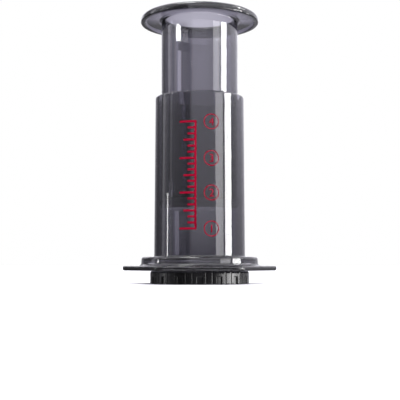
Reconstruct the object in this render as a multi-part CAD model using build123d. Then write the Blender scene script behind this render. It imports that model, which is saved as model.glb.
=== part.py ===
from build123d import *
import math
import os

# Piston coffee press, as it stands ready to press: a clear chamber with a hexagonal flange
# that rests on a mug, a hollow plunger with a rubber seal halfway down the bore, and a black
# cap that clamps a paper filter under the chamber on three bayonet lugs.
# Millimetres. +Z is up, the origin is on the axis at the foot of the cap, the front is -Y.

# Fits between the pieces
seal_clearance = 0.15
grip_clearance = 0.12
lug_clearance = 0.2
ramp_clearance = 0.1
overrun = 5.0

# Cap: ribbed skirt, drilled plate
skirt_wall = 2.25
skirt_cover = 1.3
cap_top_round = 1.6
cap_foot_round = 0.7
cap_edge_round = 0.3
plate_lift = 1.6
plate_thickness = 1.8

# Cap skirt: notches at the foot, each between two grooves
notch_count = 16
groove_turn = 7.5
groove_width = 1.3
groove_depth = 0.4
notch_width = 4.1
notch_height = 5.45
notch_depth = 1.1

# Cap plate: rings of drain holes
hole_radius = 1.45
hole_margin = 4.7
hole_rings = 4
holes_in_first_ring = 6

# Paper filter
filter_lap = 1.45
filter_thickness = 0.2

# Chamber tube, from the spigot inside the cap to the rim
bore_radius = 30.3
spigot_wall = 2.6
foot_wall = 3.1
rim_wall = 2.45
chamber_height = 134.1
rim_outer_round = 1.1
rim_inner_round = 0.6
spigot_round = 0.4

# Chamber flange: rounded hexagon with two corners on the X axis
flange_gap = 0.2
flange_thickness = 3.4
flange_overhang = 13.6
flange_corner_round = 9.0
flange_edge_round = 1.3

# Collar: hollow ring between the flange and the tube
channel_width = 7.5
collar_lean = 0.4
collar_height = 10.0
collar_wall = 2.6
collar_top_round = 1.9
collar_flare = 2.4
collar_inner_round = 1.0

# Bayonet: lugs out from the spigot, lugs in from the cap
lug_count = 3
lug_height = 1.0
lug_arc = 20.0
lug_lift = 0.6
lug_thin_end = 1.0
cap_lug_thickness = 1.7
cap_twist = 24.0
cap_drop = 1.2

# Plunger: drafted tube with a floor, a neck for the seal and a round flange with a lip
plunger_lift = 51.0
plunger_length = 144.8
tube_top_gap = 1.8
tube_foot_gap = 2.25
tube_wall = 2.4
floor_thickness = 2.4
floor_round = 3.0
hand_overhang = 15.4
hand_rim_height = 5.6
hand_rim_width = 2.9
hand_rim_round = 3.4
hand_foot_round = 0.8
hand_lip_round = 0.6
hand_lip_lean = 1.2
hand_web_drop = 3.5
hand_web_fall = 0.5
hand_web_round = 1.2
hand_fillet = 2.0
hand_mouth_drop = 0.7
hand_mouth_round = 2.4

# Seal: rubber boot snapped over a bead on the plunger's neck
seal_face = 2.3
seal_height = 6.9
seal_lip_lean = 1.5
seal_lip_height = 2.6
seal_lip_lift = 2.7
seal_face_round = 0.6
seal_lip_round = 0.5
neck_depth = 3.0
bead_depth = 1.2
bead_height = 1.7
bead_round = 0.4

# Heights that follow from the sizes above
ramp_rise = cap_drop * lug_arc / cap_twist
plate_top = plate_lift + plate_thickness
chamber_foot = plate_top + filter_thickness
chamber_top = chamber_foot + chamber_height
lug_bottom = chamber_foot + lug_lift
lug_top = (lug_bottom + lug_thin_end, lug_bottom + lug_thin_end + ramp_rise)
cap_lug_bottom = (lug_top[0] + ramp_clearance, lug_top[1] + ramp_clearance)
cap_lug_top = cap_lug_bottom[1] + cap_lug_thickness
cap_height = cap_lug_top + skirt_cover
flange_bottom = cap_height + flange_gap
flange_top = flange_bottom + flange_thickness
collar_top = flange_bottom + collar_height
seal_bottom = chamber_foot + plunger_lift
plunger_foot = seal_bottom + seal_face + grip_clearance
shoulder = seal_bottom + seal_height + grip_clearance
plunger_top = seal_bottom + plunger_length

# Radii that follow from the sizes above
spigot_radius = bore_radius + spigot_wall
foot_radius = bore_radius + foot_wall
rim_radius = bore_radius + rim_wall
lug_radius = spigot_radius + lug_height
cap_inner_radius = lug_radius + lug_clearance
cap_radius = cap_inner_radius + skirt_wall
filter_radius = bore_radius + filter_lap
hole_pitch = (bore_radius - hole_margin) / hole_rings
channel_radius = spigot_radius + channel_width
collar_radius = channel_radius + collar_wall
flange_corner_reach = collar_radius + flange_overhang
seal_radius = bore_radius - seal_clearance
tube_foot_radius = bore_radius - tube_foot_gap
tube_top_radius = bore_radius - tube_top_gap
neck_radius = tube_foot_radius - neck_depth
bead_radius = neck_radius + bead_depth
hand_flange_radius = tube_top_radius + hand_overhang


def rounded_face(corners):
    """Face in the XZ plane from corners (x, z, radius), each rounded by a tangent arc."""
    places = [Vector(x, 0, z) for x, z, radius in corners]
    edges = []
    ends = []
    for i, (x, z, radius) in enumerate(corners):
        corner = places[i]
        back = (places[i - 1] - corner).normalized()
        ahead = (places[(i + 1) % len(places)] - corner).normalized()
        if radius == 0:
            ends.append((corner, corner))
            continue
        half_angle = math.radians(back.get_angle(ahead)) / 2
        inward = (back + ahead).normalized()
        centre = corner + inward * (radius / math.sin(half_angle))
        reach = radius / math.tan(half_angle)
        first = corner + back * reach
        last = corner + ahead * reach
        edges.append(ThreePointArc(first, centre - inward * radius, last))
        ends.append((first, last))
    for i, (first, last) in enumerate(ends):
        edges.append(Line(ends[i - 1][1], first))
    return make_face(edges)


def turned(corners):
    """Solid of revolution about Z from a rounded outline."""
    return revolve(rounded_face(corners), Axis.Z)


def ring(inner, outer, bottom, top):
    """Plain ring about Z."""
    height = top - bottom
    return Pos(0, 0, bottom) * extrude(Circle(outer) - Circle(inner), height)


def ramped_lug(angle, inner, outer, low_side, high_side):
    """Lug between two radii whose lower and upper sides are lines (z at the low end, z at the high end).

    The high end is the one that lies anticlockwise, seen from above."""
    half_chord = (inner + outer) / 2 * math.sin(math.radians(lug_arc / 2))
    outline = Polygon(
        (-half_chord, low_side[0]),
        (half_chord, low_side[1]),
        (half_chord, high_side[1]),
        (-half_chord, high_side[0]),
        align=None,
    )
    block = extrude(Plane.YZ * outline, outer + overrun)
    shell = ring(inner, outer, min(low_side) - overrun, max(high_side) + overrun)
    return Rot(0, 0, angle) * (block & shell)


def lug_angles():
    return [90 + 360 / lug_count * i for i in range(lug_count)]


def chamber():
    """Tube, collar and spigot in one turned piece, with the flange and the lugs."""
    ceiling = collar_top - collar_wall
    flare_radius = collar_radius + 2 * collar_flare
    tube = turned([
        (bore_radius, chamber_foot, spigot_round),
        (spigot_radius, chamber_foot, spigot_round),
        (spigot_radius, ceiling, collar_inner_round),
        (channel_radius, ceiling, collar_inner_round),
        (channel_radius, flange_bottom, 0),
        (flare_radius, flange_bottom, 0),
        (flare_radius, flange_top, 0),
        (collar_radius, flange_top, collar_flare),
        (collar_radius - collar_lean, collar_top, collar_top_round),
        (foot_radius, collar_top, collar_inner_round),
        (rim_radius, chamber_top, rim_outer_round),
        (bore_radius, chamber_top, rim_inner_round),
    ])
    corner_radius = flange_corner_reach + flange_corner_round * (1 / math.cos(math.pi / 6) - 1)
    hexagon = RegularPolygon(corner_radius, 6)
    hexagon = fillet(hexagon.vertices(), flange_corner_round)
    plate = Pos(0, 0, flange_bottom) * extrude(hexagon, flange_thickness)
    faces_up_and_down = plate.faces().filter_by(Axis.Z)
    plate = fillet(faces_up_and_down.edges(), flange_edge_round)
    plate -= Pos(0, 0, flange_bottom) * Cylinder(channel_radius, 2 * flange_thickness + overrun)
    body = tube + plate
    root = spigot_radius - spigot_wall / 2
    for angle in lug_angles():
        body += ramped_lug(angle, root, lug_radius, (lug_bottom, lug_bottom), lug_top)
    return body


def plunger_tube():
    """Drafted tube with a closed floor and a round flange with a lip, which the hand presses on."""
    bead_top = plunger_foot + bead_height
    floor_top = plunger_foot + floor_thickness
    mouth_top = plunger_top - hand_mouth_drop
    web_bottom = plunger_top - hand_web_drop
    rim_bottom = plunger_top - hand_rim_height
    lip_inside = hand_flange_radius - hand_rim_width
    web_edge = lip_inside - hand_lip_lean
    return turned([
        (0, plunger_foot, 0),
        (bead_radius, plunger_foot, bead_round),
        (bead_radius, bead_top, bead_round),
        (neck_radius, bead_top, 0),
        (neck_radius, shoulder, 0),
        (tube_foot_radius, shoulder, bead_round),
        (tube_top_radius, web_bottom, hand_fillet),
        (web_edge, web_bottom - hand_web_fall, hand_web_round),
        (lip_inside, rim_bottom, hand_lip_round),
        (hand_flange_radius, rim_bottom, hand_foot_round),
        (hand_flange_radius, plunger_top, hand_rim_round),
        (tube_top_radius - tube_wall, mouth_top, hand_mouth_round),
        (tube_foot_radius - tube_wall, shoulder + neck_depth, 0),
        (neck_radius - tube_wall, shoulder, 0),
        (neck_radius - tube_wall, floor_top, floor_round),
        (0, floor_top, 0),
    ])


def plunger_seal():
    """Rubber boot: a face that meets the coffee, a lip that wipes the bore, a grip on the neck."""
    grip_radius = neck_radius + grip_clearance
    socket_radius = bead_radius + grip_clearance
    socket_bottom = plunger_foot - grip_clearance
    socket_top = plunger_foot + bead_height + grip_clearance
    seal_top = seal_bottom + seal_height
    lip_bottom = seal_bottom + seal_lip_lift
    lip_top = lip_bottom + seal_lip_height
    return turned([
        (0, seal_bottom, 0),
        (seal_radius - seal_lip_lean, seal_bottom, seal_face_round),
        (seal_radius, lip_bottom, seal_lip_round),
        (seal_radius, lip_top, seal_lip_round),
        (seal_radius - seal_lip_lean, seal_top, seal_lip_round),
        (grip_radius, seal_top, 0),
        (grip_radius, socket_top, 0),
        (socket_radius, socket_top, 0),
        (socket_radius, socket_bottom, 0),
        (0, socket_bottom, 0),
    ])


def filter_cap():
    """Black cap: ribbed skirt, drilled plate and three lugs that ride on the chamber's lugs."""
    body = turned([
        (0, plate_lift, 0),
        (cap_inner_radius, plate_lift, 0),
        (cap_inner_radius, 0, cap_edge_round),
        (cap_radius, 0, cap_foot_round),
        (cap_radius, cap_height, cap_top_round),
        (cap_inner_radius, cap_height, cap_edge_round),
        (cap_inner_radius, plate_top, cap_edge_round),
        (0, plate_top, 0),
    ])
    turn = 360 / notch_count
    groove = Pos(0, groove_depth - cap_radius - overrun / 2, cap_height / 2)
    groove = groove * Box(groove_width, overrun, cap_height + overrun)
    notch = Pos(0, notch_depth - cap_radius - overrun / 2, (notch_height - overrun) / 2)
    notch = notch * Box(notch_width, overrun, notch_height + overrun)
    cuts = [Rot(0, 0, turn * i) * notch for i in range(notch_count)]
    for side in (-groove_turn, groove_turn):
        cuts += [Rot(0, 0, turn * i + side) * groove for i in range(notch_count)]
    for circle in range(hole_rings + 1):
        count = max(1, holes_in_first_ring * circle)
        for i in range(count):
            place = Rot(0, 0, 360 / count * i) * Pos(hole_pitch * circle, 0, plate_lift + plate_thickness / 2)
            cuts.append(place * Cylinder(hole_radius, plate_thickness + overrun))
    body -= cuts
    inner = spigot_radius + lug_clearance
    root = cap_inner_radius + (cap_radius - notch_depth - cap_inner_radius) / 2
    for angle in lug_angles():
        body += ramped_lug(angle, inner, root, cap_lug_bottom, (cap_lug_top, cap_lug_top))
    return body


def paper_filter():
    """Round paper between the cap's plate and the foot of the chamber."""
    return Pos(0, 0, plate_top) * extrude(Circle(filter_radius), filter_thickness)


pieces = {
    "chamber": chamber(),
    "plunger_tube": plunger_tube(),
    "plunger_seal": plunger_seal(),
    "filter_cap": filter_cap(),
    "paper_filter": paper_filter(),
}

os.makedirs("parts", exist_ok=True)
for name, piece in pieces.items():
    export_step(piece, f"parts/{name}.step")
    size = piece.bounding_box().size
    print(f"{name}: {piece.volume:.0f} cubic mm, {size.X:.1f} x {size.Y:.1f} x {size.Z:.1f} mm")
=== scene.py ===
# %% [markdown]
# # A piston coffee press, dressed for the camera
# The press has five pieces: a smoked clear chamber with a six-sided flange, a hollow plunger of the
# same plastic, a rubber seal on the plunger's foot, a black cap, and a paper filter. The solids come
# from CAD and are fixed. This lesson gives each of them a smooth skin and a finish, and sets a camera
# and a small studio round them. Sizes are in millimetres until the last moment, when a mesh is made in
# metres.

# %% Load the fixed frame
import math

import bpy
import numpy as np
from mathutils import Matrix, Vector


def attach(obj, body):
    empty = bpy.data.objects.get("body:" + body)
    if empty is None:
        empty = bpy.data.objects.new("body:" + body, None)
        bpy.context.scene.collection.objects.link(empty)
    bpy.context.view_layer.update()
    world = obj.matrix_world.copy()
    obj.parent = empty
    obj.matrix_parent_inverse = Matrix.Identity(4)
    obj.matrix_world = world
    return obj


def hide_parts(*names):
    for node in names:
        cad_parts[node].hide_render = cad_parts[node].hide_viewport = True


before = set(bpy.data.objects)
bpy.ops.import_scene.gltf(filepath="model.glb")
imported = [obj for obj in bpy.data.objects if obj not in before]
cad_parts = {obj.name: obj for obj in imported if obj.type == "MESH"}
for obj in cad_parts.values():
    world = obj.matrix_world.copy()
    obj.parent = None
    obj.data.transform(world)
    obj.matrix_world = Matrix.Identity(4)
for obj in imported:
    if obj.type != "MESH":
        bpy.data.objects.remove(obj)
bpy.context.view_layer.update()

# %% [markdown]
# ## The camera
# The photograph was taken from low down, with a long lens, about two thirds of a metre away. The
# flange's ellipse is so thin that the eye must be almost level with it, and the plunger's flange is
# seen from below. A camera fitted to these ellipses stands just above the floor and looks up by 4
# degrees. That is better than placing it by eye, because then every outline falls where it should.

# %% Camera
MM = 0.001
CAMERA_PLACE = (0.295, -660.0, 13.85)
CAMERA_TILT = 4.138
CAMERA_LENS = 80.48

camera_data = bpy.data.cameras.new("camera")
camera_data.lens = CAMERA_LENS
camera_data.sensor_width = 36.0
camera_data.clip_start = 0.05
camera_data.clip_end = 50.0
camera = bpy.data.objects.new("camera", camera_data)
camera.location = Vector(CAMERA_PLACE) * MM
camera.rotation_euler = (math.radians(90 + CAMERA_TILT), 0, 0)
bpy.context.scene.collection.objects.link(camera)
bpy.context.scene.camera = camera
print("camera lens in mm:", round(camera_data.lens, 2))

# %% [markdown]
# ## Outlines
# Almost everything here was turned or moulded round, so its shape is a flat outline carried round the
# axis. The outline is a list of corners, each with a rounding, as a draughtsperson would write it.
# The arcs are worked out for all corners at once. Two extra points close to each end of a straight
# run keep the shading of the arc from creeping along the flat, which clear plastic would show at once.

# %% Rounded outline
ARC_STEPS = 7
HOLD = 0.22
ALMOST_NOTHING = 1e-6
SAME_POINT = 1e-4


def rounded_outline(corners, on_axis=False):
    """Points (x, z) of an outline whose corners (x, z, radius) are rounded.

    The arc's centre lies on the bisector, radius / sin(half angle) from the corner. The arc turns from
    one tangent point to the other as a blend of the two unit spokes a and b over the sweep w:
    (sin((1 - t) w) a + sin(t w) b) / sin(w).
    """
    corners = np.array(corners, float)
    place, radius = corners[:, :2], corners[:, 2:3]
    back = np.roll(place, 1, axis=0) - place
    back_run = np.linalg.norm(back, axis=1, keepdims=True)
    ahead_run = np.roll(back_run, -1, axis=0)
    back = back / back_run
    ahead = -np.roll(back, -1, axis=0)
    half = np.arccos(np.clip((back * ahead).sum(1, keepdims=True), -1, 1)) / 2
    inward = back + ahead
    inward = inward / np.maximum(np.linalg.norm(inward, axis=1, keepdims=True), ALMOST_NOTHING)
    spoke_in = back / np.tan(half) - inward / np.sin(half)
    spoke_out = ahead / np.tan(half) - inward / np.sin(half)
    sweep = np.maximum(np.pi - 2 * half, ALMOST_NOTHING)[:, None]
    t = np.linspace(0, 1, ARC_STEPS + 1)[None, :, None]
    turn = np.sin((1 - t) * sweep) * spoke_in[:, None] + np.sin(t * sweep) * spoke_out[:, None]
    centre = place + inward * radius / np.sin(half)
    arcs = centre[:, None] + radius[:, None] * turn / np.sin(sweep)
    reach = radius / np.tan(half)
    free = ahead_run - reach - np.roll(reach, -1, axis=0)
    step = np.minimum(HOLD, free / 3)
    leaving = place + ahead * (reach + step)
    arriving = place + ahead * (reach + free - step)
    points = np.concatenate([arcs, leaving[:, None], arriving[:, None]], axis=1).reshape(-1, 2)
    if on_axis:
        points = points[:-2]
    gap = np.linalg.norm(np.diff(points, axis=0), axis=1)
    return points[np.append(True, gap > SAME_POINT)]


# %% [markdown]
# ## Skins
# A skin is a grid of points: rows along the outline, columns round the axis. Columns always join up.
# Rows either join into a ring, as round the wall of a tube, or end on the axis in a single point, so
# that no seam or pole stays open. The signed volume tells whether the faces point outwards, and the
# corners are turned the other way if they don't.

# %% Skin from a grid of points
COLUMNS = 360


def skin(grid, on_axis=False):
    """(points, faces) of a closed skin: each face joins (i, j), (i, j+1), (i+1, j+1), (i+1, j)."""
    rows, columns = grid.shape[:2]
    index = np.arange(rows * columns).reshape(rows, columns)
    points = grid.reshape(-1, 3)
    fans = np.zeros((0, 3), int)
    if on_axis:
        points = np.concatenate([grid[:1, 0], grid[1:-1].reshape(-1, 3), grid[-1:, 0]])
        index = index[: rows - 2] + 1
        right = np.roll(index, -1, axis=1)
        last = np.full(columns, len(points) - 1)
        first_fan = np.stack([np.zeros(columns, int), right[0], index[0]], axis=-1)
        last_fan = np.stack([last, index[-1], right[-1]], axis=-1)
        fans = np.concatenate([first_fan, last_fan])
        upper, lower = index[:-1], index[1:]
    else:
        upper, lower = index, np.roll(index, -1, axis=0)
    quads = np.stack([upper, np.roll(upper, -1, 1), np.roll(lower, -1, 1), lower], axis=-1).reshape(-1, 4)
    triangles = np.concatenate([quads[:, [0, 1, 2]], quads[:, [0, 2, 3]], fans])
    a, b, c = (points[triangles[:, k]] for k in range(3))
    if (a * np.cross(b, c)).sum() < 0:
        quads, fans = quads[:, ::-1], fans[:, ::-1]
    return points, quads.tolist() + fans.tolist()


def turned(outline, columns=COLUMNS):
    """Grid of an outline (x, z) carried round the axis: (x cos a, x sin a, z)."""
    angle = np.linspace(0, 2 * np.pi, columns, endpoint=False)
    x, z = outline[:, :1], outline[:, 1:]
    return np.stack([x * np.cos(angle), x * np.sin(angle), z + 0 * angle], axis=-1)


def make_piece(name, *skins):
    """One smooth-shaded object in metres, at the origin, from one or more skins in millimetres."""
    points, faces = [], []
    for skin_points, skin_faces in skins:
        start = sum(len(block) for block in points)
        points.append(skin_points)
        faces += [[start + corner for corner in face] for face in skin_faces]
    mesh = bpy.data.meshes.new(name)
    mesh.from_pydata((np.concatenate(points) * MM).tolist(), [], faces)
    mesh.shade_smooth()
    piece = bpy.data.objects.new(name, mesh)
    bpy.context.scene.collection.objects.link(piece)
    print(name, "faces:", len(faces))
    return piece


# %% [markdown]
# ## The chamber
# The chamber is one moulding: a slightly drafted tube, a hollow collar that stands round its foot, a
# rounded six-sided flange that carries the press in use, and the spigot with three bayonet lugs that
# the cap grips. It could be joined from several solids, but a clear piece shows every hidden wall
# inside it, so it is one skin. The flange's outer rows swap their circle for a rounded hexagon, and the
# spigot's rows swell into the lugs.

# %% Chamber sizes
BORE, SPIGOT, FOOT_RADIUS, RIM_RADIUS = 30.3, 32.9, 33.4, 32.75
CHANNEL, COLLAR, COLLAR_TOP_RADIUS = 40.4, 43.0, 42.6
CHAMBER_FOOT, CHAMBER_TOP = 3.6, 137.7
FLANGE_LOW, FLANGE_HIGH, CEILING, COLLAR_TOP = 9.5, 12.9, 16.9, 19.5
CEILING_ROUND = 1.0
FLANGE_REACH, FLANGE_ROUND, FLANGE_EDGE = 56.6, 9.0, 1.3
LUG_RADIUS, LUG_LOW, LUG_MIDDLE = 33.9, 4.2, 5.7
LUG_TURN, LUG_PITCH, LUG_HALF_ARC, LUG_RAMP = 90, 120, 10.0, 0.5
# A lug fades out over one degree. Between lugs a trace of it stays, so that no two rows fall together.
LUG_FADE, LUG_TRACE = 1, 0.02
# Rows are told apart by place, with a little room for rounding. The flange's edge also takes in the
# extra row beside its arcs.
ROOM, EDGE_ROOM = 0.01, 0.3

# %% Chamber skin


def flange_edge(angle, inset):
    """Distance from the axis to the rounded hexagon moved in by inset.

    On a corner it is the far crossing with the corner's circle, on a flat the apothem over the cosine.
    """
    centre = FLANGE_REACH - FLANGE_ROUND
    turn = (angle + np.pi / 6) % (np.pi / 3) - np.pi / 6
    corner = FLANGE_ROUND - inset
    tangent = np.arctan2(corner / 2, centre + corner * math.cos(math.pi / 6))
    on_corner = centre * np.cos(turn)
    on_corner = on_corner + np.sqrt(np.maximum(corner**2 - (centre * np.sin(turn)) ** 2, 0))
    on_flat = (centre * math.cos(math.pi / 6) + corner) / np.cos(np.pi / 6 - np.abs(turn))
    return np.where(np.abs(turn) < tangent, on_corner, on_flat)


def chamber_grid():
    """Turned outline whose flange rows follow the hexagon and whose spigot rows swell into three lugs."""
    outline = rounded_outline([
        (BORE, CHAMBER_FOOT, 0.4),
        (SPIGOT, CHAMBER_FOOT, 0.4),
        (SPIGOT, LUG_LOW, 0),
        (LUG_RADIUS, LUG_LOW, 0.15),
        (LUG_RADIUS, LUG_MIDDLE, 0.15),
        (SPIGOT, LUG_MIDDLE, 0),
        (SPIGOT, CEILING, CEILING_ROUND),
        (CHANNEL, CEILING, CEILING_ROUND),
        (CHANNEL, FLANGE_LOW, 0.15),
        (FLANGE_REACH, FLANGE_LOW, FLANGE_EDGE),
        (FLANGE_REACH, FLANGE_HIGH, FLANGE_EDGE),
        (COLLAR, FLANGE_HIGH, 2.4),
        (COLLAR_TOP_RADIUS, COLLAR_TOP, 1.9),
        (FOOT_RADIUS, COLLAR_TOP, 1.0),
        (RIM_RADIUS, CHAMBER_TOP, 1.1),
        (BORE, CHAMBER_TOP, 0.6),
    ])
    angle = np.linspace(0, 2 * np.pi, COLUMNS, endpoint=False)[None]
    x, z = outline[:, :1], outline[:, 1:]
    half_pitch = LUG_PITCH / 2
    from_lug = (np.degrees(angle) - LUG_TURN + half_pitch) % LUG_PITCH - half_pitch
    on_lug = np.clip(LUG_HALF_ARC + LUG_FADE - np.abs(from_lug), LUG_TRACE, 1)
    ramp_ends = [-half_pitch, -LUG_HALF_ARC, LUG_HALF_ARC, half_pitch]
    ramp = LUG_RAMP * np.interp(from_lug, ramp_ends, [0, -1, 1, 0])
    wall_top = CEILING - CEILING_ROUND
    spigot_side = (x > SPIGOT - ROOM) & (x < LUG_RADIUS + ROOM) & (z < wall_top)
    lug_share = np.interp(z, [LUG_LOW, LUG_MIDDLE, wall_top], [0, 1, 0])
    height = z + np.where(spigot_side, lug_share * ramp, 0)
    swollen = np.where(spigot_side, SPIGOT + (x - SPIGOT) * on_lug, x)
    flange_side = x > FLANGE_REACH - FLANGE_EDGE - EDGE_ROOM
    reach = np.where(flange_side, flange_edge(angle, FLANGE_REACH - x), swollen)
    return np.stack([reach * np.cos(angle), reach * np.sin(angle), height], axis=-1)


chamber_shell = make_piece("chamber_shell", skin(chamber_grid()))

# %% [markdown]
# ## The plunger
# The plunger is a second tube of the same plastic. Its open top spreads into the round flange that the
# palm presses on, which turns down into a lip. Its foot closes in a floor, a neck and a bead for the
# seal. It too is one skin, this time from a point on the axis below the floor to one above it.

# %% Plunger skin
TUBE_FOOT, TUBE_TOP, TUBE_WALL = 28.05, 28.5, 2.4
NECK, BEAD, BEAD_HEIGHT, PLUNGER_FLOOR, SHOULDER_STEP = 25.05, 26.25, 1.7, 2.4, 3.0
PLUNGER_FOOT, SHOULDER, PLUNGER_TOP = 57.02, 61.62, 199.4
HAND_RADIUS, HAND_LOW, LIP_INSIDE, MOUTH = 43.9, 193.8, 41.0, 198.7
WEB_EDGE, WEB_LOW, WEB_FALL = 39.8, 195.9, 0.5

plunger_outline = rounded_outline([
    (0, PLUNGER_FOOT, 0),
    (BEAD, PLUNGER_FOOT, 0.4),
    (BEAD, PLUNGER_FOOT + BEAD_HEIGHT, 0.4),
    (NECK, PLUNGER_FOOT + BEAD_HEIGHT, 0.1),
    (NECK, SHOULDER, 0.1),
    (TUBE_FOOT, SHOULDER, 0.4),
    (TUBE_TOP, WEB_LOW, 2.0),
    (WEB_EDGE, WEB_LOW - WEB_FALL, 1.2),
    (LIP_INSIDE, HAND_LOW, 0.6),
    (HAND_RADIUS, HAND_LOW, 0.8),
    (HAND_RADIUS, PLUNGER_TOP, 3.4),
    (TUBE_TOP - TUBE_WALL, MOUTH, 2.4),
    (TUBE_FOOT - TUBE_WALL, SHOULDER + SHOULDER_STEP, 0.3),
    (NECK - TUBE_WALL, SHOULDER, 0.3),
    (NECK - TUBE_WALL, PLUNGER_FOOT + PLUNGER_FLOOR, 3.0),
    (0, PLUNGER_FOOT + PLUNGER_FLOOR, 0),
], on_axis=True)
plunger_body = make_piece("plunger_body", skin(turned(plunger_outline), on_axis=True))

# %% [markdown]
# ## The seal
# The seal is a rubber boot pulled over the bead. Its flat face pushes, and its lip wipes the wall.
# Rubber hides what is inside it, so the skin only has to be right where it shows, but the socket is
# kept, because the plunger fills it.

# %% Seal skin
SEAL_RADIUS, SEAL_LOW, SEAL_HIGH, LIP_LOW, LIP_HIGH = 30.15, 54.6, 61.5, 57.3, 59.9
LIP_REACH, SEAL_FIT = 1.5, 0.12
SEAL_COLUMNS = 240

seal_outline = rounded_outline([
    (0, SEAL_LOW, 0),
    (SEAL_RADIUS - LIP_REACH, SEAL_LOW, 0.6),
    (SEAL_RADIUS, LIP_LOW, 0.5),
    (SEAL_RADIUS, LIP_HIGH, 0.5),
    (SEAL_RADIUS - LIP_REACH, SEAL_HIGH, 0.5),
    (NECK + SEAL_FIT, SEAL_HIGH, 0.1),
    (NECK + SEAL_FIT, PLUNGER_FOOT + BEAD_HEIGHT + SEAL_FIT, 0.1),
    (BEAD + SEAL_FIT, PLUNGER_FOOT + BEAD_HEIGHT + SEAL_FIT, 0.1),
    (BEAD + SEAL_FIT, PLUNGER_FOOT - SEAL_FIT, 0.1),
    (0, PLUNGER_FOOT - SEAL_FIT, 0),
], on_axis=True)
seal_boot = make_piece("seal_boot", skin(turned(seal_outline, SEAL_COLUMNS), on_axis=True))

# %% [markdown]
# ## The cap
# The cap is moulded in black polypropylene. Its skirt has sixteen notches at its foot, each between two
# shallow grooves, so that wide and narrow panels take turns under the fingers. Cutting these with
# booleans would leave knife edges, so the skirt's skin gives way instead: each row and column asks how
# deep the cut is there. The columns stand close together at each edge and far apart elsewhere.

# %% Cap skirt
CAP_RADIUS, CAP_INSIDE, CAP_TOP = 36.35, 34.1, 9.3
PLATE_LOW, PLATE_HIGH = 1.6, 3.4
NOTCHES, GROOVE_TURN, GROOVE_WIDTH, GROOVE_DEPTH = 16, 7.5, 1.3, 0.4
NOTCH_WIDTH, NOTCH_HEIGHT, NOTCH_DEPTH = 4.1, 5.45, 1.1
# A cut's wall leans, over SLOPE to each side of its line. Columns and rows stand at these distances
# from the line, the middle row a hair below it.
SLOPE = 0.12
COLUMNS_ACROSS = np.array([-0.3, -SLOPE, 0, SLOPE, 0.3])
ROWS_ACROSS = np.array([-0.3, -SLOPE, -0.02, SLOPE, 0.3])


def skirt_grid():
    """Ring outline with its outer rows held in: radius = min(outline, CAP_RADIUS - cut).

    The cut is a groove or a notch, each a product of even steps across its edges.
    """

    def inside(distance, reach):
        """1 within reach, 0 beyond it, with an even step over SLOPE to each side."""
        return np.clip((reach + SLOPE - distance) / (2 * SLOPE), 0, 1)

    outline = rounded_outline([
        (CAP_INSIDE, 0, 0.3),
        (CAP_RADIUS, 0, 0.7),
        (CAP_RADIUS, CAP_TOP, 1.6),
        (CAP_INSIDE, CAP_TOP, 0.3),
    ])
    wall_rows = np.stack([np.full(ROWS_ACROSS.size, CAP_RADIUS), NOTCH_HEIGHT + ROWS_ACROSS], axis=-1)
    on_wall = outline[:, 0] > CAP_RADIUS - ROOM
    split = int(np.argmax(on_wall & (outline[:, 1] > CAP_TOP / 2)))
    outline = np.concatenate([outline[:split], wall_rows, outline[split:]])
    groove_at = math.radians(GROOVE_TURN) * CAP_RADIUS
    half_turn = np.pi * CAP_RADIUS / NOTCHES
    across = np.concatenate([
        [0, 1.0],
        NOTCH_WIDTH / 2 + COLUMNS_ACROSS,
        groove_at - GROOVE_WIDTH / 2 + COLUMNS_ACROSS,
        [groove_at],
        groove_at + GROOVE_WIDTH / 2 + COLUMNS_ACROSS,
    ])
    across = np.concatenate([-across[:0:-1], across, [half_turn]])
    angle = np.arange(NOTCHES)[:, None] * 2 * np.pi / NOTCHES + across / CAP_RADIUS - np.pi / 2
    angle = angle.ravel()[None]
    from_notch = np.abs(np.tile(across, NOTCHES))[None]
    x, z = outline[:, :1], outline[:, 1:]
    in_groove = inside(np.abs(from_notch - groove_at), GROOVE_WIDTH / 2)
    in_notch = inside(from_notch, NOTCH_WIDTH / 2) * inside(z, NOTCH_HEIGHT)
    cut = np.maximum(GROOVE_DEPTH * in_groove, NOTCH_DEPTH * in_notch)
    reach = np.minimum(x, CAP_RADIUS - cut)
    return np.stack([reach * np.cos(angle), reach * np.sin(angle), z + 0 * angle], axis=-1)


# %% [markdown]
# The cap's plate is a flat disc with 61 drain holes. A flat curve does this best: the disc and the
# holes are closed lines, Blender fills what lies between them, and a small bevel softens each edge as
# a mould does. It is turned into a mesh and lifted to its place.

# %% Drilled plate
HOLE_RADIUS, HOLE_RINGS, HOLE_MARGIN = 1.45, 4, 4.7
HOLE_PITCH = (BORE - HOLE_MARGIN) / HOLE_RINGS
PLATE_BEVEL, PLATE_BITE = 0.15, 0.4
RIM_POINTS, HOLE_POINTS = 180, 24


def circle_line(curve, x, y, radius, count):
    """Adds a closed line of count points round (x, y) to a flat curve."""
    turn = np.linspace(0, 2 * np.pi, count, endpoint=False)
    line = curve.splines.new("POLY")
    line.points.add(count - 1)
    points = np.stack([x + radius * np.cos(turn), y + radius * np.sin(turn), 0 * turn, 1 + 0 * turn], -1)
    line.points.foreach_set("co", points.astype(np.float32).ravel())
    line.use_cyclic_u = True


def filled_curve(curve):
    """(points, faces) of a curve as Blender fills it."""
    holder = bpy.data.objects.new("holder", curve)
    bpy.context.scene.collection.objects.link(holder)
    depsgraph = bpy.context.evaluated_depsgraph_get()
    mesh = bpy.data.meshes.new_from_object(holder.evaluated_get(depsgraph))
    points = np.empty(len(mesh.vertices) * 3)
    mesh.vertices.foreach_get("co", points)
    faces = [list(face.vertices) for face in mesh.polygons]
    bpy.data.objects.remove(holder)
    return points.reshape(-1, 3), faces


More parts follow.
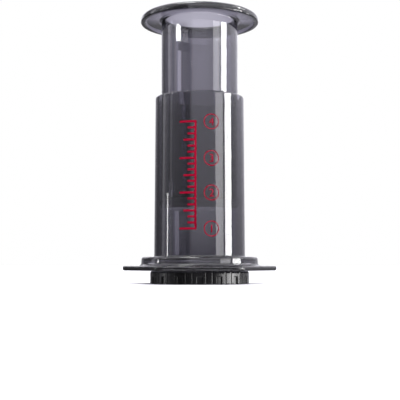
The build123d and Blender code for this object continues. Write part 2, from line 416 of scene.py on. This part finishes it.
def drilled_plate():
    """The plate's disc with one hole in the middle and 6, 12, 18 and 24 round it."""
    flat = bpy.data.curves.new("plate", "CURVE")
    flat.dimensions = "2D"
    flat.fill_mode = "BOTH"
    flat.extrude = (PLATE_HIGH - PLATE_LOW) / 2 - PLATE_BEVEL
    flat.bevel_depth = PLATE_BEVEL
    flat.bevel_resolution = 1
    flat.offset = -PLATE_BEVEL
    circle_line(flat, 0, 0, CAP_INSIDE + PLATE_BITE, RIM_POINTS)
    for ring in range(HOLE_RINGS + 1):
        count = max(1, 6 * ring)
        for turn in np.arange(count) * 2 * np.pi / count:
            reach = HOLE_PITCH * ring
            x, y = reach * math.cos(turn), reach * math.sin(turn)
            circle_line(flat, x, y, HOLE_RADIUS, HOLE_POINTS)
    points, faces = filled_curve(flat)
    return points + (0, 0, (PLATE_LOW + PLATE_HIGH) / 2), faces


# %% Cap lugs
CAP_LUG_LOW, CAP_LUG_HIGH, CAP_LUG_CLEARANCE, CAP_LUG_BITE, CAP_LUG_EDGE = 5.8, 8.0, 0.2, 0.5, 0.2


def cap_lug(middle):
    """Lug inside the skirt: a small outline carried along its arc, closed by a point at each end.

    Its underside climbs with the chamber's ramp, its top is level.
    """
    inner, outer = SPIGOT + CAP_LUG_CLEARANCE, CAP_INSIDE + CAP_LUG_BITE
    low, high, edge = CAP_LUG_LOW, CAP_LUG_HIGH, CAP_LUG_EDGE
    outline = rounded_outline([
        (inner, low, edge),
        (outer, low, edge),
        (outer, high, edge),
        (inner, high, edge),
    ])
    along = np.array([-1, -1, -0.96, -0.5, 0, 0.5, 0.96, 1, 1])[:, None]
    turn = math.radians(middle) + along * math.radians(LUG_HALF_ARC)
    x, z = outline[:, 0] + 0 * along, outline[:, 1] + 0 * along
    z = z + along * LUG_RAMP * (high - z) / (high - low)
    x[[0, -1]], z[[0, -1]] = (inner + outer) / 2, (low + high) / 2
    return np.stack([x * np.cos(turn), x * np.sin(turn), z], axis=-1)


cap_lugs = [skin(cap_lug(LUG_TURN + LUG_PITCH * k), on_axis=True) for k in range(3)]
cap_shell = make_piece("cap_shell", skin(skirt_grid()), drilled_plate(), *cap_lugs)

# %% [markdown]
# ## The paper filter
# A thin round of crepe paper lies between the cap's plate and the chamber's foot. It hardly shows,
# but it is there when the cap is looked at from below, behind the drain holes.

# %% Paper filter
FILTER_RADIUS, FILTER_THICKNESS = 31.75, 0.2
FILTER_ROWS, FILTER_COLUMNS = 60, 240
CREPE_DEPTH, CREPE_ALONG, CREPE_ACROSS = 0.15, 5.1, 3.3
CREPE_WANDER, CREPE_WANDER_PACE = 1.3, 0.9


def filter_grid():
    """Disc whose two faces carry the crepe's fine waves.

    The waves are a product of two crossed sines, sin(along x + wander) sin(across y), where the wander
    is itself a slow sine of y. They go inwards from each face and die out at the axis.
    """
    out = np.linspace(0, FILTER_RADIUS, FILTER_ROWS)
    radius = np.concatenate([out, out[::-1]])[:, None]
    side = np.repeat([0, 1], FILTER_ROWS)[:, None]
    angle = np.linspace(0, 2 * np.pi, FILTER_COLUMNS, endpoint=False)[None]
    x, y = radius * np.cos(angle), radius * np.sin(angle)
    wander = CREPE_WANDER * np.sin(CREPE_WANDER_PACE * y)
    crepe = 0.5 + 0.5 * np.sin(CREPE_ALONG * x + wander) * np.sin(CREPE_ACROSS * y)
    sunk = CREPE_DEPTH * crepe * (radius > ROOM)
    height = PLATE_HIGH + FILTER_THICKNESS * (side + (1 - 2 * side) * sunk)
    return np.stack([x, y, height], axis=-1)


filter_disc = make_piece("filter_disc", skin(filter_grid(), on_axis=True))

# %% [markdown]
# ## The printed scale
# Four fill levels are printed on the front in red: a number in a ring for each, and beside them a
# plain graduated scale. The ink is drawn flat, as on the printer's film, with s along the wall and z
# up, and then wrapped: the angle is s over the wall's radius. A Solidify gives it the thickness of a
# film of ink.

# %% Flat ink shapes
LEVELS = {"1": 39.2, "2": 64.6, "3": 89.1, "4": 115.2}
NUMBER_TURN = 14.75
RING_RADIUS, RING_STROKE, RING_POINTS = 5.6, 0.64, 97
DIGIT_HEIGHT, DIGIT_SHARE = 5.6, 0.7
SCALE_RIGHT, SCALE_SPINE, TICK_THICKNESS = -2.2, 1.5, 1.5
TICKS_PER_LEVEL, LONG_TICK, MIDDLE_TICK, SHORT_TICK = 6, 12.4, 9.4, 6.4
INK_LIFT, INK_THICKNESS, INK_COLUMN = 0.03, 0.04, 0.5


def flat_patch(s, z):
    """(points, faces) of a flat grid, faces anticlockwise as s runs along rows and z up."""
    rows, columns = s.shape
    index = np.arange(rows * columns).reshape(rows, columns)
    quads = np.stack([index[:-1, :-1], index[:-1, 1:], index[1:, 1:], index[1:, :-1]], axis=-1)
    return np.stack([s, z], axis=-1).reshape(-1, 2), quads.reshape(-1, 4).tolist()


def bar(left, right, low, high):
    """Upright rectangle in columns about INK_COLUMN wide, so that it can bend round the wall."""
    columns = max(2, int((right - left) / INK_COLUMN) + 1)
    return flat_patch(*np.meshgrid(np.linspace(left, right, columns), np.linspace(low, high, 2)))


def ring_line(s, z):
    """Ring about (s, z): radius from outer to inner, angle clockwise, which keeps faces anticlockwise."""
    around = np.linspace(0, 2 * np.pi, RING_POINTS)
    turn, radius = np.meshgrid(around, [RING_RADIUS, RING_RADIUS - RING_STROKE])
    return flat_patch(s + radius * np.cos(turn), z + radius * np.sin(turn))


def digit(text, s, z):
    """A number in Blender's own plain letter, centred on (s, z)."""
    letter = bpy.data.curves.new("digit", "FONT")
    letter.body = text
    letter.size = DIGIT_HEIGHT / DIGIT_SHARE
    letter.align_x = "CENTER"
    letter.align_y = "CENTER"
    points, faces = filled_curve(letter)
    middle = (points.min(0) + points.max(0))[:2] / 2
    return points[:, :2] - middle + (s, z), faces


def wrapped(shape, turn):
    """Wraps a flat shape round the drafted wall: angle = turn + s / radius, from the front, to the right."""
    flat, faces = shape
    s, z = flat[:, 0], flat[:, 1]
    radius = np.interp(z, [COLLAR_TOP, CHAMBER_TOP], [FOOT_RADIUS, RIM_RADIUS]) + INK_LIFT
    angle = math.radians(turn) + s / radius
    return np.stack([radius * np.sin(angle), -radius * np.cos(angle), z], axis=-1), faces


# %% Levels and scale
level_heights = np.array(sorted(LEVELS.values()))
level_ticks = np.arange(len(LEVELS)) * TICKS_PER_LEVEL
ticks = np.arange(level_ticks[-1] + 1)
tick_heights = np.interp(ticks, level_ticks, level_heights)
is_level, is_half = ticks % TICKS_PER_LEVEL == 0, ticks % (TICKS_PER_LEVEL // 2) == 0
tick_lengths = np.where(is_level, LONG_TICK, np.where(is_half, MIDDLE_TICK, SHORT_TICK))
ink = [wrapped(ring_line(0, height), NUMBER_TURN) for height in level_heights]
ink += [wrapped(digit(text, 0, height), NUMBER_TURN) for text, height in LEVELS.items()]
spine = bar(SCALE_RIGHT - SCALE_SPINE, SCALE_RIGHT, level_heights[0], level_heights[-1])
half_tick = TICK_THICKNESS / 2
ink.append(wrapped(spine, 0))
ink += [wrapped(bar(SCALE_RIGHT - length, SCALE_RIGHT, height - half_tick, height + half_tick), 0)
        for height, length in zip(tick_heights, tick_lengths)]
level_marks = make_piece("level_marks", *ink)
film = level_marks.modifiers.new("ink film", "SOLIDIFY")
film.thickness = INK_THICKNESS * MM
film.offset = 1

# %% [markdown]
# ## Colours and nodes
# Colours are written as the hex values a screen shows, and one function turns them into the linear
# light that a renderer adds up. One more function adds a shader node with its settings and links, so
# that a material reads from its pattern to its surface. A noise keeps mostly between 0.3 and 0.7, so
# that is the part that gets stretched where a pattern is to reach from one roughness to another.

# %% Colour and node helpers
MOST_OF_NOISE = {"From Min": 0.3, "From Max": 0.7}


def linear(hex_colour):
    """Linear RGBA from #RRGGBB: c / 12.92 below 0.04045, else ((c + 0.055) / 1.055) ** 2.4."""
    c = np.array([int(hex_colour[k:k + 2], 16) for k in (1, 3, 5)]) / 255
    c = np.where(c <= 0.04045, c / 12.92, ((c + 0.055) / 1.055) ** 2.4)
    return (*c.tolist(), 1.0)


def add_node(tree, kind, inputs=None, **settings):
    """Adds a node; inputs takes a value or the output socket of another node for each input."""
    node = tree.nodes.new(kind)
    for name, value in settings.items():
        setattr(node, name, value)
    for name, value in (inputs or {}).items():
        if isinstance(value, bpy.types.NodeSocket):
            tree.links.new(value, node.inputs[name])
        else:
            node.inputs[name].default_value = value
    return node


def new_material(name):
    """A material with an empty node tree: (material, tree, place on the object)."""
    material = bpy.data.materials.new(name)
    material.use_nodes = True
    tree = material.node_tree
    tree.nodes.clear()
    return material, tree, add_node(tree, "ShaderNodeTexCoord").outputs["Object"]


# %% [markdown]
# ## Smoked copolyester
# The chamber and the plunger are injection-moulded in a tough clear copolyester with a grey dye. The
# dye works through the thickness: a thin wall is light, an edge seen end-on is dark. So the colour
# isn't on the surface at all but in the volume, as absorption for each metre of path. The surface is
# as smooth as its polished steel mould, with the faint waviness and haze of a moulding. The waves are
# far too shallow to see but in a reflection.

# %% Smoked copolyester
DYE_COLOUR = "#757087"
DYE_DENSITY = 520.0
COPOLYESTER_IOR = 1.57
WAVE_SIZE, WAVE_DEPTH, HAZE_SIZE, HAZE = 14, 0.0006, 6, 0.03


def smoked_copolyester():
    """Clear surface over a volume that absorbs light."""
    material, tree, place = new_material("smoked_copolyester_injection_moulded")
    waves = add_node(tree, "ShaderNodeTexNoise", {"Vector": place, "Scale": 1 / (WAVE_SIZE * MM),
                                                  "Detail": 1.0})
    dent = add_node(tree, "ShaderNodeBump", {"Height": waves.outputs["Fac"], "Distance": WAVE_DEPTH * MM,
                                             "Strength": 0.3})
    haze = add_node(tree, "ShaderNodeTexNoise", {"Vector": place, "Scale": 1 / (HAZE_SIZE * MM),
                                                 "Detail": 3.0})
    rough = add_node(tree, "ShaderNodeMapRange", {"Value": haze.outputs["Fac"], **MOST_OF_NOISE,
                                                  "To Min": 0.0, "To Max": HAZE})
    surface = add_node(tree, "ShaderNodeBsdfPrincipled", {
        "Base Color": (1, 1, 1, 1), "Roughness": rough.outputs["Result"], "IOR": COPOLYESTER_IOR,
        "Transmission Weight": 1.0, "Normal": dent.outputs["Normal"],
    })
    dye = add_node(tree, "ShaderNodeVolumeAbsorption", {"Color": linear(DYE_COLOUR), "Density": DYE_DENSITY})
    add_node(tree, "ShaderNodeOutputMaterial", {"Surface": surface.outputs["BSDF"],
                                                "Volume": dye.outputs["Volume"]})
    return material


clear_plastic = smoked_copolyester()
print("dye:", DYE_COLOUR, "with density", DYE_DENSITY, "for each metre")

# %% [markdown]
# ## Rubber, polypropylene, paper and ink
# The other finishes are opaque. The seal is charcoal rubber from a matt mould, cloudy with bloom. The
# cap is satin black polypropylene from a spark-eroded mould, whose small craters break up its gloss.
# The paper is creped, and its fibres give it shades and ridges. The ink is screen printed, a solid red
# with a slight mottle. Grain and craters are finer than this on the real press, and are drawn as coarse
# as they need to show.

# %% Charcoal rubber
BLOOM_SIZE, GRAIN_SIZE, GRAIN_DEPTH = 9, 0.35, 0.006


def moulded_rubber():
    """Charcoal between two close shades, with a fine grain."""
    material, tree, place = new_material("charcoal_rubber_moulded")
    grain = add_node(tree, "ShaderNodeTexNoise", {"Vector": place, "Scale": 1 / (GRAIN_SIZE * MM),
                                                  "Detail": 2.0})
    dent = add_node(tree, "ShaderNodeBump", {"Height": grain.outputs["Fac"], "Distance": GRAIN_DEPTH * MM,
                                             "Strength": 0.5})
    bloom = add_node(tree, "ShaderNodeTexNoise", {"Vector": place, "Scale": 1 / (BLOOM_SIZE * MM),
                                                  "Detail": 4.0})
    tone = add_node(tree, "ShaderNodeMix", {"Factor": bloom.outputs["Fac"], "A": linear("#4B4B50"),
                                            "B": linear("#5A5A5F")}, data_type="RGBA")
    surface = add_node(tree, "ShaderNodeBsdfPrincipled", {
        "Base Color": tone.outputs["Result"], "Roughness": 0.24, "IOR": 1.52,
        "Normal": dent.outputs["Normal"],
    })
    add_node(tree, "ShaderNodeOutputMaterial", {"Surface": surface.outputs["BSDF"]})
    return material


# %% Black polypropylene
CRATER_SIZE, CRATER_DEPTH, WEAR_SIZE = 0.18, 0.015, 5


def satin_polypropylene():
    """Black with small craters, and a gloss that wear has made a little uneven."""
    material, tree, place = new_material("black_polypropylene_spark_eroded")
    craters = add_node(tree, "ShaderNodeTexVoronoi", {"Vector": place, "Scale": 1 / (CRATER_SIZE * MM)})
    dent = add_node(tree, "ShaderNodeBump", {"Height": craters.outputs["Distance"],
                                             "Distance": CRATER_DEPTH * MM, "Strength": 0.4})
    wear = add_node(tree, "ShaderNodeTexNoise", {"Vector": place, "Scale": 1 / (WEAR_SIZE * MM),
                                                 "Detail": 4.0})
    rough = add_node(tree, "ShaderNodeMapRange", {"Value": wear.outputs["Fac"], **MOST_OF_NOISE,
                                                  "To Min": 0.18, "To Max": 0.25})
    surface = add_node(tree, "ShaderNodeBsdfPrincipled", {
        "Base Color": linear("#060606"), "Roughness": rough.outputs["Result"], "IOR": 1.49,
        "Specular IOR Level": 0.32, "Normal": dent.outputs["Normal"],
    })
    add_node(tree, "ShaderNodeOutputMaterial", {"Surface": surface.outputs["BSDF"]})
    return material


# %% Crepe paper
FIBRE_SIZE, FIBRE_DEPTH = 0.5, 0.06


def crepe_paper():
    """Off-white whose shades and ridges both follow the fibres."""
    material, tree, place = new_material("filter_paper_creped")
    fibres = add_node(tree, "ShaderNodeTexNoise", {"Vector": place, "Scale": 1 / (FIBRE_SIZE * MM),
                                                   "Detail": 5.0})
    dent = add_node(tree, "ShaderNodeBump", {"Height": fibres.outputs["Fac"], "Distance": FIBRE_DEPTH * MM,
                                             "Strength": 0.6})
    tone = add_node(tree, "ShaderNodeMix", {"Factor": fibres.outputs["Fac"], "A": linear("#E4E0D4"),
                                            "B": linear("#F4F1E8")}, data_type="RGBA")
    surface = add_node(tree, "ShaderNodeBsdfPrincipled", {
        "Base Color": tone.outputs["Result"], "Roughness": 0.9, "Normal": dent.outputs["Normal"],
    })
    add_node(tree, "ShaderNodeOutputMaterial", {"Surface": surface.outputs["BSDF"]})
    return material


# %% Red ink
MOTTLE_SIZE = 0.8


def screen_ink():
    """Red between two close shades, hardly glossy."""
    material, tree, place = new_material("red_ink_screen_printed")
    mottle = add_node(tree, "ShaderNodeTexNoise", {"Vector": place, "Scale": 1 / (MOTTLE_SIZE * MM),
                                                   "Detail": 3.0})
    tone = add_node(tree, "ShaderNodeMix", {"Factor": mottle.outputs["Fac"], "A": linear("#78001C"),
                                            "B": linear("#840022")}, data_type="RGBA")
    surface = add_node(tree, "ShaderNodeBsdfPrincipled", {
        "Base Color": tone.outputs["Result"], "Roughness": 0.5, "IOR": 1.45, "Specular IOR Level": 0.05,
    })
    add_node(tree, "ShaderNodeOutputMaterial", {"Surface": surface.outputs["BSDF"]})
    return material


# %% Give the pieces their finishes
DRESS = [
    (chamber_shell, clear_plastic, "chamber", "chamber", "smoked_copolyester_chamber"),
    (plunger_body, clear_plastic, "plunger", "plunger_tube", "smoked_copolyester_plunger"),
    (seal_boot, moulded_rubber(), "seal", "plunger_seal", "seal_rubber"),
    (cap_shell, satin_polypropylene(), "cap", "filter_cap", "cap_polypropylene"),
    (filter_disc, crepe_paper(), "filter", "paper_filter", "filter_paper"),
    (level_marks, screen_ink(), "chamber", None, None),
]
for piece, finish, body, node, slot_name in DRESS:
    piece.data.materials.append(finish)
    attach(piece, body)
    if node:
        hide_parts(node)
    print(piece.name, "rides on", body, "in", finish.name)

# %% [markdown]
# ## The studio
# Clear plastic has almost no look of its own: it shows what stands behind it and what it mirrors.
# The photograph was lit the way glass is lit, with white behind, darkness at the sides so that the
# edges draw themselves, a tall bright strip on the right, a thin one on the left and a soft light
# above. The world holds the broad zones, by direction, and area lights make the strips and windows.

# %% Light zones
# Brightness by azimuth from the camera's side, in degrees, right positive.
ZONES = [
    (-180, 0.2), (-138, 0.2), (-128, 0.22), (-118, 0.28), (-110, 0.4), (-108, 1.3), (-101, 1.3),
    (-99, 0.9), (-93, 0.75), (-88, 0.55), (-82, 0.5), (-80.5, 1.1), (-76, 1.1), (-74, 0.65),
    (-52, 0.55), (-40, 0.35), (-27, 0.35), (-19, 1.15), (60, 1.15), (86, 1.0), (112, 1.0),
    (130, 0.8), (180, 0.8),
]
# The part behind the press, which shows through its walls: degrees from straight behind, right positive.
BEHIND = [
    (-40, 0.2), (-32, 0.3), (-30, 0.45), (-26, 0.4), (-16, 0.4), (-12, 0.5), (-5.7, 0.48),
    (-5.4, 1.05), (-5, 1.05), (-4.8, 0.5), (-3.8, 0.42), (-2, 0.42), (-1.4, 0.62), (-0.6, 0.66),
    (1.2, 0.66), (1.7, 0.6), (2.9, 0.6), (3.1, 0.9), (3.6, 0.9), (3.9, 0.55), (6, 0.55), (7.2, 1.1),
    (11, 1.05), (14, 0.75), (18, 0.6), (30, 0.85), (40, 0.8),
]
# Brightness by height, as (sine of the elevation, factor): behind the press, and on the camera's side.
BACK_HEIGHTS = [
    (-1, 0.6), (-0.2, 0.6), (-0.1, 0.8), (0, 0.8), (0.056, 0.9), (0.11, 1), (0.182, 1.27),
    (0.197, 1.48), (0.238, 1.6), (0.262, 2.05), (1, 2.05),
]
FRONT_HEIGHTS = [
    (-1, 2.3), (-0.5, 2.3), (-0.3, 0.8), (-0.15, 0.15), (0.004, 0.15), (0.022, 0.5), (0.05, 1),
    (0.2, 1.3), (0.3, 1.3), (0.45, 2.3), (1, 2.3),
]
# The front heights take over between these two shares of the way towards the camera.
FRONT_FROM, FRONT_TO = 0.3, 0.6
# Plain light takes over from the zones behind, and higher up from everything, between two such sines.
OVER_BEHIND, OVER_FROM, OVER_TO = 0.64, 0.262, 0.268
ZENITH, ZENITH_FROM, ZENITH_TO = 1.6, 0.5, 0.85
BRIGHTEST = 2.5
DAYLIGHT = np.array([0.98, 0.965, 1.06])
DEGREE = math.radians(1)
print("light zones:", len(ZONES), "round the press and", len(BEHIND), "behind it")

# %% World


def grey(level):
    """Level as a ramp holds it: a ramp's colours end at 1, so it is divided by BRIGHTEST."""
    return (level / BRIGHTEST, level / BRIGHTEST, level / BRIGHTEST, 1)


def brightness(tree, value, stops, unit=1):
    """Grey at a value, from a table of (place, level): straight between stops, value = place * unit."""
    first, last = stops[0][0], stops[-1][0]
    share = add_node(tree, "ShaderNodeMapRange", {"Value": value, "From Min": first * unit,
                                                  "From Max": last * unit})
    ramp = add_node(tree, "ShaderNodeValToRGB", {"Fac": share.outputs["Result"]})
    elements = ramp.color_ramp.elements
    while len(elements) < len(stops):
        elements.new(0.5)
    for element, (place, level) in zip(elements, stops):
        element.position = (place - first) / (last - first)
        element.color = grey(level)
    return ramp.outputs["Color"]


def light_round(tree, x, y, z, toward):
    """Grey by direction round the press: ZONES by arctan(x / -y), and behind the press BEHIND instead.

    BEHIND goes by arctan(x / y), up to where plain light takes over.
    """
    azimuth = add_node(tree, "ShaderNodeMath", {0: x, 1: toward}, operation="ARCTAN2").outputs[0]
    bearing = add_node(tree, "ShaderNodeMath", {0: x, 1: y}, operation="ARCTAN2").outputs[0]
    above = add_node(tree, "ShaderNodeMapRange", {"Value": z, "From Min": OVER_FROM, "From Max": OVER_TO})
    behind = add_node(tree, "ShaderNodeMix", {
        "Factor": above.outputs["Result"], "A": brightness(tree, bearing, BEHIND, DEGREE),
        "B": grey(OVER_BEHIND),
    }, data_type="RGBA")
    aside = add_node(tree, "ShaderNodeMath", {0: bearing}, operation="ABSOLUTE")
    is_behind = add_node(tree, "ShaderNodeMath", {0: aside.outputs[0], 1: BEHIND[-1][0] * DEGREE},
                         operation="LESS_THAN")
    either = add_node(tree, "ShaderNodeMix", {
        "Factor": is_behind.outputs[0], "A": brightness(tree, azimuth, ZONES, DEGREE),
        "B": behind.outputs["Result"],
    }, data_type="RGBA")
    return either.outputs["Result"]


def light_upward(tree, z, toward):
    """Grey by height: FRONT_HEIGHTS towards the camera, BACK_HEIGHTS elsewhere."""
    facing = add_node(tree, "ShaderNodeMapRange", {"Value": toward, "From Min": FRONT_FROM,
                                                   "From Max": FRONT_TO})
    either = add_node(tree, "ShaderNodeMix", {
        "Factor": facing.outputs["Result"], "A": brightness(tree, z, BACK_HEIGHTS),
        "B": brightness(tree, z, FRONT_HEIGHTS),
    }, data_type="RGBA")
    return either.outputs["Result"]


def studio_world():
    """Light from a direction (x, y, z) is its zone times its height; the camera itself sees white."""
    world = bpy.data.worlds.new("studio")
    world.use_nodes = True
    tree = world.node_tree
    tree.nodes.clear()
    way = add_node(tree, "ShaderNodeTexCoord").outputs["Generated"]
    parts = add_node(tree, "ShaderNodeSeparateXYZ", {"Vector": way})
    x, y, z = (parts.outputs[axis] for axis in "XYZ")
    toward = add_node(tree, "ShaderNodeMath", {0: y, 1: -1.0}, operation="MULTIPLY").outputs[0]
    walls = add_node(tree, "ShaderNodeVectorMath", {
        0: light_round(tree, x, y, z, toward), 1: light_upward(tree, z, toward),
    }, operation="MULTIPLY")
    walls = add_node(tree, "ShaderNodeVectorMath", {0: walls.outputs[0], 1: BRIGHTEST**2 * DAYLIGHT},
                     operation="MULTIPLY")
    rise = add_node(tree, "ShaderNodeMapRange", {"Value": z, "From Min": ZENITH_FROM, "From Max": ZENITH_TO})
    dome = add_node(tree, "ShaderNodeMix", {"Factor": rise.outputs["Result"], "A": walls.outputs[0],
                                            "B": (*(ZENITH * DAYLIGHT), 1)}, data_type="RGBA")
    seen = add_node(tree, "ShaderNodeLightPath").outputs["Is Camera Ray"]
    shown = add_node(tree, "ShaderNodeMix", {"Factor": seen, "A": dome.outputs["Result"],
                                             "B": (1, 1, 1, 1)}, data_type="RGBA")
    light = add_node(tree, "ShaderNodeBackground", {"Color": shown.outputs["Result"], "Strength": 1.0})
    add_node(tree, "ShaderNodeOutputWorld", {"Surface": light.outputs["Background"]})
    return world


bpy.context.scene.world = studio_world()

# %% [markdown]
# ## Panels of light
# Each panel is given by the angles it covers as seen from the press's foot. The right strip draws the
# white line down the tube and the chamber, the glow under it lights the cap's right side, and the band
# beside it greys the wall. The left strip is the thin line low on the left, the left window is the
# white patch under the hand flange, and the high window glints on that flange's rim. The back strips
# stand behind the tube and show through it. Four of the bright panels show in first reflections only,
# because their inner reflections are too rare to render cleanly.

# %% Panels
PANEL_DISTANCE = 3.0
# Name: azimuth, width, lower edge and upper edge in degrees, radiance, first reflections only.
PANELS = {
    "right_strip": (77.5, 21, -0.45, 19, 17, True),
    "low_glow": (79, 56, -6, -0.5, 15, True),
    "right_band": (51.5, 21, -1.5, 19, 3.6, False),
    "left_strip": (-88, 3.6, -1, 6.2, 12, False),
    "left_window": (-66.45, 16, 16.93, 18.14, 20, True),
    "back_strip_high": (-175.35, 1.15, 13.67, 16.7, 2.1, False),
    "back_strip_low": (-175.35, 1.15, -1.5, 13.67, 1.4, False),
    "high_window": (95, 20, 30, 50, 10, True),
}


def add_lamp(name, width, height, radiance, place, turn, first_only=False):
    """Area light in metres that no camera ray meets; power = radiance * pi * area."""
    data = bpy.data.lights.new(name, "AREA")
    data.shape = "RECTANGLE"
    data.size, data.size_y = width, height
    data.energy = radiance * math.pi * width * height
    lamp = bpy.data.objects.new(name, data)
    lamp.location, lamp.rotation_euler = place, turn
    lamp.visible_camera = False
    lamp.visible_transmission = not first_only
    bpy.context.scene.collection.objects.link(lamp)


for name, (azimuth, spread, low, high, radiance, first_only) in PANELS.items():
    width = 2 * PANEL_DISTANCE * math.tan(math.radians(spread / 2))
    bottom, top = (PANEL_DISTANCE * math.tan(math.radians(angle)) for angle in (low, high))
    turn = math.radians(azimuth)
    place = (PANEL_DISTANCE * math.sin(turn), -PANEL_DISTANCE * math.cos(turn), (bottom + top) / 2)
    add_lamp(name, width, top - bottom, radiance, place, (math.radians(90), 0, turn), first_only)

# %% Soft light above
SOFTBOX_SIZE, SOFTBOX_RADIANCE = 0.5, 8
SOFTBOX_PLACE, SOFTBOX_AIM = Vector((-0.25, -0.15, 1.3)), Vector((0, 0, 0.1))

softbox_turn = (SOFTBOX_AIM - SOFTBOX_PLACE).to_track_quat("-Z", "Y").to_euler()
add_lamp("top_softbox", SOFTBOX_SIZE, SOFTBOX_SIZE, SOFTBOX_RADIANCE, SOFTBOX_PLACE, softbox_turn)
print("lights:", ", ".join(PANELS), "and top_softbox")

# %% [markdown]
# ## The floor
# A plain pale floor carries the press and its soft shadow, and lights its underside a little.

# %% Floor
FLOOR_HALF, FLOOR_HEIGHT, FLECK_SIZE = 6.0, -0.05 * MM, 25

floor_mesh = bpy.data.meshes.new("floor")
floor_corners = [(-FLOOR_HALF, -FLOOR_HALF), (FLOOR_HALF, -FLOOR_HALF), (FLOOR_HALF, FLOOR_HALF),
                 (-FLOOR_HALF, FLOOR_HALF)]
floor_mesh.from_pydata([(x, y, FLOOR_HEIGHT) for x, y in floor_corners], [], [(0, 1, 2, 3)])
floor = bpy.data.objects.new("floor", floor_mesh)
bpy.context.scene.collection.objects.link(floor)
board, tree, place = new_material("pale_board_painted")
flecks = add_node(tree, "ShaderNodeTexNoise", {"Vector": place, "Scale": 1 / (FLECK_SIZE * MM),
                                               "Detail": 3.0})
tone = add_node(tree, "ShaderNodeMix", {"Factor": flecks.outputs["Fac"], "A": linear("#F6F6F6"),
                                        "B": linear("#FAFAFA")}, data_type="RGBA")
paint = add_node(tree, "ShaderNodeBsdfPrincipled", {"Base Color": tone.outputs["Result"], "Roughness": 0.9})
add_node(tree, "ShaderNodeOutputMaterial", {"Surface": paint.outputs["BSDF"]})
floor_mesh.materials.append(board)
floor.visible_glossy = False

# %% Renderer habits
scene = bpy.context.scene
scene.view_settings.view_transform = "Standard"
scene.cycles.max_bounces = 32
scene.cycles.transmission_bounces = 32
scene.cycles.glossy_bounces = 12
scene.cycles.transparent_max_bounces = 32
scene.cycles.use_denoising = True
